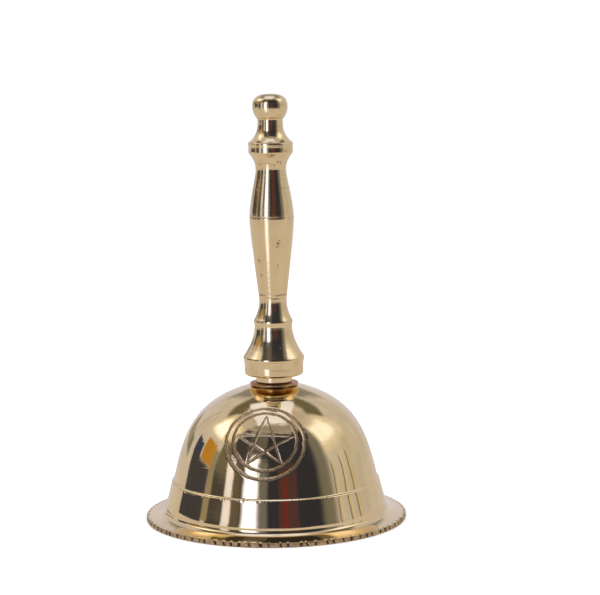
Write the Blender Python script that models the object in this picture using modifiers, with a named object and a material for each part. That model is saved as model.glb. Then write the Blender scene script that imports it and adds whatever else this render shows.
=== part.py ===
"""Sanctus bell: a polished brass altar bell with a turned handle and a ball clapper.

The constants are millimetres and MM turns them into metres. +Z is up, the mouth rests on z = 0, the
Z axis is the bell's own axis, and the engraved roundel faces -Y. Everything above the crown is stacked
from CROWN_Z up, and everything inside the cup is stacked from the crown's underside down.
"""

from math import atan2, cos, hypot, pi, sin

import bmesh
import bpy
from mathutils import Matrix, Vector

NAME = "sanctus_bell"
MM = 0.001
SEAT = 0.25  # left between two pieces that rest on each other

# Bell cup, outside
MOUTH_R = 31.0  # outer radius of the brim
BRIM_W = 4.75  # from the brim's edge in to the foot of the band
BRIM_EDGE_T = 1.1
BRIM_RISE = 1.2  # from the top of the edge up to the upright step
BRIM_STEP_H = 1.15  # upright step between the brim and the band
BAND_H = 5.75  # conical band above the step
BAND_TAPER = 1.5  # how much narrower the band is at its top
STEP_W = 0.42  # ledge between the band and the dome
STEP_H = 0.45
DOME_H = 22.2  # from the ledge up to the crown land
CROWN_LAND_R = 6.2  # flat land that the washer sits on
DOME_LOWER_BEND = (0.135, 0.483)  # fullness of the dome's curve, across and up
DOME_UPPER_BEND = (0.262, 0.830)
WALL = 1.25
BAND_WALL = 1.7
CUP_STEPS = 64

# Nicks round the brim's edge
NICKS = CUP_STEPS
NICK_W = 0.85
NICK_DEEP = 0.35

# Engraved roundel on the dome
ROUNDEL_AT = 0.435  # its centre's share of the way up the dome's curve
ROUNDEL_TALL = 0.96  # height of the whole figure for its width
RING_OUTER_R = 9.1
RING_INNER_R = 7.3
STAR_R = 6.75
STAR_POINTS = 5
LINE_R = 0.35  # half the width of an engraved line, and its depth

# Crown washer, between the dome and the handle
CROWN_WASHER_R = 5.75
CROWN_WASHER_T = 0.5

# Handle: radii and heights from its foot to its knob
NECK_R = 4.3
NECK_H = 1.6
FOOT_R = 7.0
FOOT_ROUND = 0.7
FOOT_BAND_H = 3.1
FOOT_RIDGE = 0.25  # how far the sharp upper ridge stands out
CONE_H = 7.6
BEAD_NECK_R = 4.45
BEAD_R = 4.62
BEAD_H = 1.5
WAIST_R = 3.27
WAIST_H = 4.3
WAIST_BAND_H = 0.4
GRIP_R = 5.24
GRIP_H = 19.3
TOP_NECK_R = 3.57
SHOULDER_H = 11.3
COLLAR_R = 5.25
COLLAR_COVE_H = 4.1
COLLAR_H = 2.3
KNOB_NECK_R = 2.97
KNOB_COVE_H = 4.4
KNOB_NECK_H = 1.1
KNOB_R = 4.13
KNOB_LOWER_H = 2.8
KNOB_CAP_H = 3.05
HANDLE_STEPS = 36

# Stud, nut and washer that hold the handle on the crown
STUD_R = 2.1
STUD_FIT = 0.3  # round the stud in each hole
STUD_IN_HANDLE = 9.0
INNER_WASHER_R = 4.8
INNER_WASHER_T = 0.7
NUT_FLATS = 8.0
NUT_H = 1.9
STUD_PROUD = 0.4  # thread that shows below the nut
SHOULDER_R = 1.4  # the turned-down end that the hanger spins on
SHOULDER_FIT = 0.35
RIVET_R = 2.1
RIVET_H = 0.8

# Clapper hanger: a fork bent from strip
STRIP_T = 0.8
STRIP_W = 4.4
HANGER_PLAY = 0.4  # above and below the strip on the stud's shoulder
FORK_GAP = 5.0
PIN_R = 0.8
PIN_FIT = 0.3
PIN_HEAD_R = 1.3
PIN_HEAD_T = 0.5
HEAD_FIT = 0.25

# Clapper
BARREL_R = 1.8
BARREL_SIDE_FIT = 0.3
BARREL_TOP_FIT = 0.45  # under the rivet head
ROD_R = 0.95
ROD_FIT = 0.3
ROD_IN_BALL = 6.0
BALL_R = 5.5
BALL_LIFT = 1.8  # from the table up to the ball

# Places that follow from the sizes
BAND_FOOT_R = MOUTH_R - BRIM_W
BRIM_TOP_Z = BRIM_EDGE_T + BRIM_RISE
BAND_FOOT_Z = BRIM_TOP_Z + BRIM_STEP_H
BAND_TOP_R = BAND_FOOT_R - BAND_TAPER
BAND_TOP_Z = BAND_FOOT_Z + BAND_H
DOME_FOOT_R = BAND_TOP_R - STEP_W
DOME_FOOT_Z = BAND_TOP_Z + STEP_H
CROWN_Z = DOME_FOOT_Z + DOME_H
STUD_HOLE_R = STUD_R + STUD_FIT
CROWN_WASHER_Z = CROWN_Z + SEAT
HANDLE_Z = CROWN_WASHER_Z + CROWN_WASHER_T + SEAT
INNER_WASHER_Z = CROWN_Z - WALL - SEAT - INNER_WASHER_T
NUT_Z = INNER_WASHER_Z - SEAT - NUT_H
STUD_TOP_Z = HANDLE_Z + STUD_IN_HANDLE - SEAT
SHOULDER_TOP_Z = NUT_Z - STUD_PROUD
HANGER_Z = SHOULDER_TOP_Z - HANGER_PLAY - STRIP_T
RIVET_TOP_Z = HANGER_Z - HANGER_PLAY
RIVET_Z = RIVET_TOP_Z - RIVET_H
PIVOT_Z = RIVET_Z - BARREL_TOP_FIT - BARREL_R
BALL_Z = BALL_LIFT + BALL_R
PIN_HOLE_R = PIN_R + PIN_FIT


def clear_scene():
    for item in list(bpy.data.objects):
        bpy.data.objects.remove(item, do_unlink=True)


def new_collection(name):
    group = bpy.data.collections.new(name)
    bpy.context.scene.collection.children.link(group)
    return group


def metal(name, colour, roughness):
    material = bpy.data.materials.new(name)
    material.use_nodes = True
    shader = material.node_tree.nodes["Principled BSDF"]
    shader.inputs["Base Color"].default_value = (*colour, 1.0)
    shader.inputs["Metallic"].default_value = 1.0
    shader.inputs["Roughness"].default_value = roughness
    return material


def bend(start, end, near_start, near_end, points):
    """Points of a smooth curve from start to end. The two bends are shares of the way across and up."""
    (r0, z0), (r1, z1) = start, end
    handles = [(r0 + (r1 - r0) * across, z0 + (z1 - z0) * up) for across, up in (near_start, near_end)]
    corners = [start, *handles, end]
    curve = []
    for step in range(points + 1):
        t = step / points
        weights = ((1 - t) ** 3, 3 * t * (1 - t) ** 2, 3 * t * t * (1 - t), t ** 3)
        pairs = list(zip(weights, corners))
        curve.append(tuple(sum(w * corner[axis] for w, corner in pairs) for axis in (0, 1)))
    return curve


def inset(curve, depth):
    """The same curve moved inward, square to itself, by a wall."""
    moved = []
    for index, (r, z) in enumerate(curve):
        before, after = curve[max(index - 1, 0)], curve[min(index + 1, len(curve) - 1)]
        across, up = after[0] - before[0], after[1] - before[1]
        length = hypot(across, up)
        moved.append((r - up / length * depth, z + across / length * depth))
    return moved


def link(name, mesh, group, material=None, origin=(0, 0, 0), parent=None):
    item = bpy.data.objects.new(name, mesh)
    if material:
        mesh.materials.append(material)
    group.objects.link(item)
    if parent:
        item.parent = parent
    item.location = Vector(origin) * MM
    return item


def smooth_shade(item, degrees=32):
    item.data.shade_smooth()
    item.data.set_sharp_from_angle(angle=degrees * pi / 180)


def turned(name, outline, steps, group, material=None, closed=True, origin=(0, 0, 0), parent=None):
    """A turned piece: its outline runs down the outer side, top to bottom, and a Screw turns it round Z."""
    mesh = bpy.data.meshes.new(name)
    count = len(outline)
    edges = [(i, i + 1) for i in range(count - 1)] + ([(count - 1, 0)] if closed else [])
    mesh.from_pydata([(r * MM, 0, (z - origin[2]) * MM) for r, z in outline], edges, [])
    item = link(name, mesh, group, material, origin, parent)
    screw = item.modifiers.new("turn", "SCREW")
    screw.steps = screw.render_steps = steps
    screw.use_merge_vertices = True
    screw.merge_threshold = 0.00001
    screw.use_smooth_shade = True
    return item


def cut(item, cutter):
    """Takes a cutter out of a piece and hides the cutter."""
    boolean = item.modifiers.new(cutter.name, "BOOLEAN")
    boolean.operation = "DIFFERENCE"
    boolean.solver = "EXACT"
    boolean.object = cutter
    cutter.hide_render = True
    cutter.display_type = "WIRE"


def rod_cutter(name, radius, length, centre, turn, group, sides=24):
    mesh = bpy.data.meshes.new(name)
    shape = bmesh.new()
    bmesh.ops.create_cone(shape, cap_ends=True, segments=sides, radius1=radius * MM, radius2=radius * MM,
                          depth=length * MM, matrix=turn)
    shape.to_mesh(mesh)
    shape.free()
    return link(name, mesh, group, origin=centre)


def dome_curve(points):
    """The dome's outer curve, from the ledge up to the crown land."""
    foot, land = (DOME_FOOT_R, DOME_FOOT_Z), (CROWN_LAND_R, CROWN_Z)
    return bend(foot, land, DOME_LOWER_BEND, DOME_UPPER_BEND, points)


def dome_radius(z):
    curve = dome_curve(60)
    for (r0, z0), (r1, z1) in zip(curve, curve[1:]):
        if z <= z1 or (r1, z1) == curve[-1]:
            return r0 + (r1 - r0) * (z - z0) / (z1 - z0)


def roundel_frame():
    """Centre of the roundel on the dome's front, with its outward and upward directions."""
    curve = dome_curve(60)
    lengths = [hypot(b[0] - a[0], b[1] - a[1]) for a, b in zip(curve, curve[1:])]
    left = ROUNDEL_AT * sum(lengths)
    for (r0, z0), (r1, z1), length in zip(curve, curve[1:], lengths):
        if left <= length:
            break
        left -= length
    share = left / length
    lean = atan2(z1 - z0, r1 - r0)
    centre = Vector((0, -(r0 + (r1 - r0) * share), z0 + (z1 - z0) * share))
    up = Vector((0, -cos(lean), sin(lean)))
    outward = Vector((0, -sin(lean), -cos(lean)))
    return centre, outward, up


def on_dome(across, upward):
    """The point of the dome straight behind a place on the roundel's flat face."""
    centre, outward, up = roundel_frame()
    flat = centre + Vector((across, 0, 0)) + up * upward * ROUNDEL_TALL
    near, far = 0.0, DOME_FOOT_R / 2
    for _ in range(30):
        middle = (near + far) / 2
        point = flat - outward * middle
        if hypot(point.x, point.y) > dome_radius(point.z):
            near = middle
        else:
            far = middle
    return flat - outward * (near + far) / 2


def line_cutter(name, points, closed, group):
    """An engraved line: a thin tube laid along the dome and made a mesh, so that it can cut."""
    path = bpy.data.curves.new(name, "CURVE")
    path.dimensions = "3D"
    path.bevel_depth = LINE_R * MM
    path.bevel_resolution = 0
    path.use_fill_caps = True
    spline = path.splines.new("POLY")
    spline.points.add(len(points) - 1)
    for knot, point in zip(spline.points, points):
        knot.co = (*(point * MM), 1)
    spline.use_cyclic_u = closed
    wire = bpy.data.objects.new(name + "_path", path)
    bpy.context.scene.collection.objects.link(wire)
    graph = bpy.context.evaluated_depsgraph_get()
    mesh = bpy.data.meshes.new_from_object(wire.evaluated_get(graph))
    shape = bmesh.new()
    shape.from_mesh(mesh)
    bmesh.ops.remove_doubles(shape, verts=shape.verts, dist=0.000001)
    bmesh.ops.recalc_face_normals(shape, faces=shape.faces)
    shape.to_mesh(mesh)
    shape.free()
    item = link(name, mesh, group)
    item.matrix_world = wire.matrix_world
    bpy.data.objects.remove(wire, do_unlink=True)
    return item


def engrave_roundel(cup, cutters):
    for name, radius, points in (("ring_outer", RING_OUTER_R, 36), ("ring_inner", RING_INNER_R, 32)):
        angles = [2 * pi * step / points for step in range(points)]
        ring = [on_dome(radius * sin(a), radius * cos(a)) for a in angles]
        cut(cup, line_cutter("cut_" + name, ring, True, cutters))
    angles = [2 * pi * k / STAR_POINTS for k in range(STAR_POINTS)]
    tips = [(STAR_R * sin(a), STAR_R * cos(a)) for a in angles]
    for k in range(STAR_POINTS):
        (x0, y0), (x1, y1) = tips[k], tips[(k + 2) % STAR_POINTS]
        line = [on_dome(x0 + (x1 - x0) * t / 9, y0 + (y1 - y0) * t / 9) for t in range(10)]
        cut(cup, line_cutter(f"cut_star_{k + 1}", line, False, cutters))


def nick_brim(cup, cutters):
    """Small upright V nicks, one in the middle of each flat of the brim's edge."""
    mesh = bpy.data.meshes.new("cut_nicks")
    shape = bmesh.new()
    edge = MOUTH_R * cos(pi / CUP_STEPS)
    for step in range(NICKS):
        angle = 2 * pi * (step + 0.5) / NICKS
        place = Matrix.Rotation(angle, 4, "Z") @ Matrix.Translation(
            Vector((edge + NICK_W - NICK_DEEP, 0, BRIM_EDGE_T / 2)) * MM) @ Matrix.Rotation(pi, 4, "Z")
        bmesh.ops.create_cone(shape, cap_ends=True, segments=3, radius1=NICK_W * MM, radius2=NICK_W * MM,
                              depth=(BRIM_EDGE_T + 2) * MM, matrix=place)
    shape.to_mesh(mesh)
    shape.free()
    cut(cup, link("cut_nicks", mesh, cutters))


def bell_cup(group, cutters, material):
    dome = dome_curve(10)
    inner_dome = inset(dome_curve(7), WALL)
    inner_dome[-1] = (CROWN_LAND_R, CROWN_Z - WALL)
    brim_in = (BAND_FOOT_R + 0.05, BRIM_TOP_Z)
    brim = bend(brim_in, (MOUTH_R - 0.15, BRIM_EDGE_T), (0.11, 0.60), (0.45, 0.88), 5)
    outline = [(STUD_HOLE_R, CROWN_Z)] + dome[::-1]
    outline += [(BAND_TOP_R, BAND_TOP_Z), (BAND_FOOT_R, BAND_FOOT_Z)] + brim
    outline += [(MOUTH_R, BRIM_EDGE_T - 0.15), (MOUTH_R, 0.15), (MOUTH_R - 0.15, 0)]
    outline += [(BAND_FOOT_R - WALL, 0), (BAND_TOP_R - BAND_WALL, BAND_TOP_Z)]
    outline += inner_dome + [(STUD_HOLE_R, CROWN_Z - WALL)]
    cup = turned("bell_cup", outline, CUP_STEPS, group, material)
    nick_brim(cup, cutters)
    engrave_roundel(cup, cutters)
    return cup


def crown_washer(group, material):
    top = CROWN_WASHER_Z + CROWN_WASHER_T
    outline = [(STUD_HOLE_R, top), (CROWN_WASHER_R - 0.15, top), (CROWN_WASHER_R, top - 0.15),
               (CROWN_WASHER_R, CROWN_WASHER_Z), (STUD_HOLE_R, CROWN_WASHER_Z)]
    return turned("crown_washer", outline, HANDLE_STEPS, group, material)


def handle_outline():
    """The handle's outer side from foot to knob, worked up one feature at a time."""
    z = HANDLE_Z
    side = [(NECK_R, z), (NECK_R, z + NECK_H)]
    z += NECK_H
    side += bend((FOOT_R - FOOT_ROUND, z), (FOOT_R, z + FOOT_ROUND), (0.6, 0.0), (1.0, 0.4), 3)
    z += FOOT_ROUND + FOOT_BAND_H
    side += [(FOOT_R + FOOT_RIDGE * 0.6, z), (FOOT_R + FOOT_RIDGE, z + 0.4)]
    z += 0.4
    cone_foot = (FOOT_R + FOOT_RIDGE * 0.8, z + 0.2)
    side += bend(cone_foot, (BEAD_NECK_R, z + CONE_H), (0.473, 0.275), (0.982, 0.597), 6)
    z += CONE_H
    side += [(BEAD_R, z + BEAD_H * 0.55), (BEAD_NECK_R, z + BEAD_H)]
    z += BEAD_H
    side += bend((BEAD_NECK_R, z), (WAIST_R, z + WAIST_H), (0.484, 0.233), (0.975, 0.628), 4)[1:]
    z += WAIST_H + WAIST_BAND_H
    side += bend((WAIST_R, z), (GRIP_R, z + GRIP_H), (0.244, 0.249), (0.827, 0.668), 6)
    z += GRIP_H
    side += bend((GRIP_R, z), (TOP_NECK_R, z + SHOULDER_H), (0.054, 0.363), (0.892, 0.770), 6)[1:]
    z += SHOULDER_H
    side += bend((TOP_NECK_R, z), (COLLAR_R, z + COLLAR_COVE_H), (0.02, 0.488), (0.462, 0.707), 4)[1:]
    z += COLLAR_COVE_H + COLLAR_H
    side += bend((COLLAR_R, z), (KNOB_NECK_R, z + KNOB_COVE_H), (0.54, 0.205), (0.996, 0.5), 5)
    z += KNOB_COVE_H + KNOB_NECK_H
    side += bend((KNOB_NECK_R, z), (KNOB_R, z + KNOB_LOWER_H), (0.485, 0.179), (1.0, 0.571), 4)
    z += KNOB_LOWER_H
    return side + bend((KNOB_R, z), (0, z + KNOB_CAP_H), (0, 0.557), (0.128, 1.0), 6)[1:]


def handle(group, material):
    bore_top = HANDLE_Z + STUD_IN_HANDLE
    outline = handle_outline()[::-1]
    outline += [(STUD_HOLE_R, HANDLE_Z), (STUD_HOLE_R, bore_top), (0, bore_top + STUD_HOLE_R / 2)]
    return turned("handle", outline, HANDLE_STEPS, group, material, closed=False)


def handle_stud(group, material):
    """Threaded stud with a turned-down end, upset below the hanger so that the hanger spins on it."""
    outline = [(0, STUD_TOP_Z), (STUD_R - 0.4, STUD_TOP_Z), (STUD_R, STUD_TOP_Z - 0.4),
               (STUD_R, SHOULDER_TOP_Z), (SHOULDER_R, SHOULDER_TOP_Z), (SHOULDER_R, RIVET_TOP_Z),
               (RIVET_R, RIVET_TOP_Z), (RIVET_R, RIVET_TOP_Z - RIVET_H * 0.5),
               (RIVET_R * 0.7, RIVET_Z + 0.08), (0, RIVET_Z)]
    return turned("handle_stud", outline, 24, group, material, closed=False)


def inner_washer(group, material):
    top = INNER_WASHER_Z + INNER_WASHER_T
    outline = [(STUD_HOLE_R, top), (INNER_WASHER_R, top), (INNER_WASHER_R, INNER_WASHER_Z),
               (STUD_HOLE_R, INNER_WASHER_Z)]
    return turned("inner_washer", outline, 32, group, material)


def clamp_nut(group, cutters, material):
    mesh = bpy.data.meshes.new("clamp_nut")
    shape = bmesh.new()
    corner = NUT_FLATS / 2 / cos(pi / 6)
    bmesh.ops.create_cone(shape, cap_ends=True, segments=6, radius1=corner * MM, radius2=corner * MM,
                          depth=NUT_H * MM)
    shape.to_mesh(mesh)
    shape.free()
    middle = NUT_Z + NUT_H / 2
    nut = link("clamp_nut", mesh, group, material, (0, 0, middle))
    soften = nut.modifiers.new("soften", "BEVEL")
    soften.width = 0.2 * MM
    soften.segments = 1
    bore = rod_cutter("cut_nut_bore", STUD_HOLE_R, NUT_H + 2, (0, 0, middle), Matrix(), cutters)
    cut(nut, bore)
    return nut


def clapper_hanger(group, cutters, material, axis):
    """A fork bent from strip: a flat top with the stud's hole, and two round-ended legs for the pin."""
    width = FORK_GAP + 2 * STRIP_T
    rise = HANGER_Z + STRIP_T - PIVOT_Z
    path = bpy.data.curves.new("hanger_side", "CURVE")
    path.dimensions = "2D"
    path.fill_mode = "BOTH"
    path.extrude = width / 2 * MM
    spline = path.splines.new("POLY")
    angles = [pi + pi * k / 10 for k in range(11)]
    round_end = [(STRIP_W / 2 * cos(a), STRIP_W / 2 * sin(a)) for a in angles]
    outline = [(STRIP_W / 2, rise), (-STRIP_W / 2, rise)] + round_end
    spline.points.add(len(outline) - 1)
    for knot, (y, z) in zip(spline.points, outline):
        knot.co = (y * MM, z * MM, 0, 1)
    spline.use_cyclic_u = True
    blank = bpy.data.objects.new("hanger_side", path)
    bpy.context.scene.collection.objects.link(blank)
    graph = bpy.context.evaluated_depsgraph_get()
    mesh = bpy.data.meshes.new_from_object(blank.evaluated_get(graph))
    shape = bmesh.new()
    shape.from_mesh(mesh)
    bmesh.ops.remove_doubles(shape, verts=shape.verts, dist=0.000001)
    shape.transform(Matrix.Rotation(pi / 2, 4, "Z") @ Matrix.Rotation(pi / 2, 4, "X"))
    bmesh.ops.recalc_face_normals(shape, faces=shape.faces)
    shape.to_mesh(mesh)
    shape.free()
    bpy.data.objects.remove(blank, do_unlink=True)
    mesh.name = "clapper_hanger"
    fork = link("clapper_hanger", mesh, group, material, (0, 0, PIVOT_Z - SHOULDER_TOP_Z), axis)
    soften = fork.modifiers.new("soften", "BEVEL")
    soften.width = 0.15 * MM
    soften.segments = 1
    soften.limit_method = "ANGLE"

    inside = bpy.data.meshes.new("cut_fork_gap")
    shape = bmesh.new()
    floor = HANGER_Z - PIVOT_Z
    reach = floor + STRIP_W / 2 + 2
    size = Matrix.Diagonal((FORK_GAP * MM, (STRIP_W + 4) * MM, reach * MM, 1))
    bmesh.ops.create_cube(shape, size=1, matrix=size)
    shape.to_mesh(inside)
    shape.free()
    cut(fork, link("cut_fork_gap", inside, cutters, origin=(0, 0, HANGER_Z - reach / 2)))
    cut(fork, rod_cutter("cut_shoulder_hole", SHOULDER_R + SHOULDER_FIT, STRIP_T + 2,
                         (0, 0, HANGER_Z + STRIP_T / 2), Matrix(), cutters, 20))
    cut(fork, rod_cutter("cut_pin_holes", PIN_HOLE_R, width + 2, (0, 0, PIVOT_Z),
                         Matrix.Rotation(pi / 2, 4, "Y"), cutters, 16))
    return fork


def clapper_pin(group, material, axis):
    """Cross pin with both ends upset outside the fork."""
    shank = FORK_GAP / 2 + STRIP_T + HEAD_FIT
    half = [(0, shank + PIN_HEAD_T), (PIN_HEAD_R * 0.7, shank + PIN_HEAD_T),
            (PIN_HEAD_R, shank + PIN_HEAD_T * 0.5), (PIN_HEAD_R, shank), (PIN_R, shank)]
    outline = half + [(r, -z) for r, z in half[::-1]]
    pin = turned("clapper_pin", outline, 16, group, material, closed=False, parent=axis)
    pin.rotation_euler = (0, pi / 2, 0)
    pin.location = (0, 0, (PIVOT_Z - SHOULDER_TOP_Z) * MM)
    return pin


def clapper_rod(group, cutters, material, axis):
    """The rod and its barrel eye, one piece. Its origin is on the pin."""
    length = FORK_GAP - 2 * BARREL_SIDE_FIT
    rod = turned("clapper_rod", [(BARREL_R - 0.15, length / 2), (BARREL_R, length / 2 - 0.15),
                                 (BARREL_R, 0.15 - length / 2), (BARREL_R - 0.15, -length / 2),
                                 (PIN_HOLE_R, -length / 2), (PIN_HOLE_R, length / 2)],
                 24, group, material, parent=axis)
    rod.rotation_euler = (0, pi / 2, 0)
    lower = BALL_Z + BALL_R - ROD_IN_BALL + ROD_FIT
    upper = PIVOT_Z - (PIN_HOLE_R + BARREL_R) / 2
    stem = rod_cutter("stem", ROD_R, upper - lower, (0, 0, (upper + lower) / 2), Matrix(), cutters, 16)
    join = rod.modifiers.new("stem", "BOOLEAN")
    join.operation = "UNION"
    join.solver = "EXACT"
    join.object = stem
    stem.hide_render = True
    stem.display_type = "WIRE"
    return rod


def clapper_ball(group, cutters, material, axis):
    mesh = bpy.data.meshes.new("clapper_ball")
    shape = bmesh.new()
    bmesh.ops.create_uvsphere(shape, u_segments=28, v_segments=16, radius=BALL_R * MM)
    shape.to_mesh(mesh)
    shape.free()
    ball = link("clapper_ball", mesh, group, material, (0, 0, BALL_Z - PIVOT_Z), axis)
    smooth_shade(ball)
    depth = ROD_IN_BALL + 2
    middle = BALL_Z + BALL_R - ROD_IN_BALL + depth / 2
    cut(ball, rod_cutter("cut_ball_bore", ROD_R + ROD_FIT, depth, (0, 0, middle), Matrix(), cutters, 16))
    return ball


def empty(name, group, origin, parent=None):
    item = link(name, None, group, origin=origin, parent=parent)
    item.empty_display_size = 0.01
    return item


def build():
    clear_scene()
    parts = new_collection(NAME)
    cutters = new_collection("cutters")
    swivel_axis = empty("swivel_axis", parts, (0, 0, SHOULDER_TOP_Z))
    swing_axis = empty("swing_axis", parts, (0, 0, PIVOT_Z - SHOULDER_TOP_Z), swivel_axis)

    brass = (0.80, 0.62, 0.34)
    bell_cup(parts, cutters, metal("bell_cup_brass", brass, 0.12))
    crown_washer(parts, metal("crown_washer_brass", (0.52, 0.33, 0.17), 0.25))
    handle(parts, metal("handle_brass", brass, 0.10))
    handle_stud(parts, metal("handle_stud_steel", (0.50, 0.50, 0.48), 0.35))
    inner_washer(parts, metal("inner_washer_steel", (0.55, 0.54, 0.52), 0.40))
    clamp_nut(parts, cutters, metal("clamp_nut_steel", (0.53, 0.52, 0.50), 0.38))
    clapper_hanger(parts, cutters, metal("clapper_hanger_brass", (0.70, 0.53, 0.28), 0.32), swivel_axis)
    clapper_pin(parts, metal("clapper_pin_steel", (0.56, 0.55, 0.53), 0.30), swivel_axis)
    clapper_rod(parts, cutters, metal("clapper_rod_brass", (0.72, 0.55, 0.30), 0.28), swing_axis)
    clapper_ball(parts, cutters, metal("clapper_ball_brass", (0.74, 0.57, 0.31), 0.24), swing_axis)


build()
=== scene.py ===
"""Looks of the sanctus bell: detailed turned shapes, polished brass, a plain studio and the camera.

Lengths are millimetres and MM turns them into metres. The cup, washer and handle are rebuilt
here with finer profiles than the CAD solids have, in the same places; the clapper and the other CAD
nodes keep their shapes and get smooth shading and new materials. Angles round the bell are measured
from the front, where the engraved roundel faces -Y, and are positive towards +X.
"""

from math import atan2, cos, pi, radians, sin

import bpy
import numpy as np
from mathutils import Matrix, Vector


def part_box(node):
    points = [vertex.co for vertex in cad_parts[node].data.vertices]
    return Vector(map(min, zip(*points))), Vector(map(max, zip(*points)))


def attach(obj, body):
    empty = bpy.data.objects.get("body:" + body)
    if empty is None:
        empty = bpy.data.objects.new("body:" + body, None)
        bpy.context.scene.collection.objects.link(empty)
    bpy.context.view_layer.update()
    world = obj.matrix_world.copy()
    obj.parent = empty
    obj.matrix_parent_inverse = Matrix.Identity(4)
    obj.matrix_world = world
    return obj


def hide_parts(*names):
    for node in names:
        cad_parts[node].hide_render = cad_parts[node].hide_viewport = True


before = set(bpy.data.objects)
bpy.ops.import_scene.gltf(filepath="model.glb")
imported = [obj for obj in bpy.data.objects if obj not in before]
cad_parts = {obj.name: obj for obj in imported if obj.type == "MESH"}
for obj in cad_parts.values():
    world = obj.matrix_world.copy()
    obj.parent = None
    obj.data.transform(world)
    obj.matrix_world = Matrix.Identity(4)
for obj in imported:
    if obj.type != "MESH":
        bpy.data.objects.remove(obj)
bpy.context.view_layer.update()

MM = 0.001
SEED = 7


def low(node):
    """A CAD node's lowest corner in millimetres."""
    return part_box(node)[0] / MM


def high(node):
    """A CAD node's highest corner in millimetres."""
    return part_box(node)[1] / MM


# Cup profile, as the CAD solid has it
MOUTH_R = round(high("bell_cup").x, 2)
CROWN_Z = round(high("bell_cup").z, 2)
BRIM_W = 4.75
BRIM_EDGE_T = 1.1
BRIM_RISE = 1.2
BRIM_STEP_H = 1.15
BAND_H = 5.75
BAND_TAPER = 1.5
STEP_W = 0.42
STEP_H = 0.45
CROWN_LAND_R = 6.2
DOME_LOWER_BEND = (0.135, 0.483)
DOME_UPPER_BEND = (0.262, 0.830)
WALL = 1.25
BAND_WALL = 1.7
HOLE_R = 2.4
BAND_FOOT_R = MOUTH_R - BRIM_W
BRIM_TOP_Z = BRIM_EDGE_T + BRIM_RISE
BAND_FOOT_Z = BRIM_TOP_Z + BRIM_STEP_H
BAND_TOP_R = BAND_FOOT_R - BAND_TAPER
BAND_TOP_Z = BAND_FOOT_Z + BAND_H
DOME_FOOT_R = BAND_TOP_R - STEP_W
DOME_FOOT_Z = BAND_TOP_Z + STEP_H

# Roundel
ROUNDEL_AT = 0.435
ROUNDEL_TALL = 0.96
RING_OUTER_R = 9.1
RING_INNER_R = 7.3
RING_INNER_LIFT = 0.3
GROOVE_HALF_W = 0.40
GROOVE_DEEP = 0.14
BURR_H = 0.032
STAR_TIPS = ((0.0, 6.75), (6.35, 1.6), (4.0, -5.35), (-3.95, -5.3), (-6.45, 1.65))

# Rim nicks
NICKS = 88
NICK_DEEP = 0.34


# ---------------------------------------------------------------- curves and noise

def bend(start, end, near_start, near_end, points):
    """Points of a smooth curve from start to end. The two bends are shares of the way across and up."""
    (r0, z0), (r1, z1) = start, end
    handles = [(r0 + (r1 - r0) * across, z0 + (z1 - z0) * up) for across, up in (near_start, near_end)]
    corners = np.array([start, *handles, end])
    t = np.linspace(0, 1, points + 1)[:, None]
    return (1 - t) ** 3 * corners[0] + 3 * t * (1 - t) ** 2 * corners[1] \
        + 3 * t * t * (1 - t) * corners[2] + t ** 3 * corners[3]


def inset(curve, depth):
    """The same curve moved inward, square to itself."""
    across, up = np.gradient(curve[:, 0]), np.gradient(curve[:, 1])
    length = np.hypot(across, up)
    return curve + np.stack([-up / length, across / length], 1) * depth


def spaced(points, count):
    """count + 1 points evenly spaced along a polyline."""
    points = np.asarray(points, float)
    runs = np.concatenate([[0], np.cumsum(np.hypot(*np.diff(points, axis=0).T))])
    at = np.linspace(0, runs[-1], count + 1)
    return np.stack([np.interp(at, runs, points[:, k]) for k in (0, 1)], 1)


def ripple(x, y, scale, seed, waves=9):
    """Smooth noise from -1 to 1, about scale millimetres from hump to hump."""
    draw = np.random.default_rng(seed)
    total = np.zeros(np.broadcast(x, y).shape)
    for _ in range(waves):
        turn, phase = draw.uniform(0, 2 * pi, 2)
        pace = 2 * pi / scale * draw.uniform(0.6, 1.6)
        total = total + np.sin(pace * (x * cos(turn) + y * sin(turn)) + phase)
    return total / waves ** 0.5 / 1.6


def smooth(low_edge, high_edge, value):
    t = np.clip((value - low_edge) / (high_edge - low_edge), 0, 1)
    return t * t * (3 - 2 * t)


# ---------------------------------------------------------------- mesh making

def new_object(name, vertices, faces, material, groove=None):
    mesh = bpy.data.meshes.new(name)
    mesh.from_pydata([tuple(v) for v in np.asarray(vertices) * MM], [], faces)
    mesh.materials.append(material)
    if groove is not None:
        layer = mesh.attributes.new("groove", "FLOAT", "POINT")
        layer.data.foreach_set("value", np.asarray(groove, np.float32))
    mesh.validate()
    mesh.shade_smooth()
    item = bpy.data.objects.new(name, mesh)
    bpy.context.scene.collection.objects.link(item)
    return item


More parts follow.
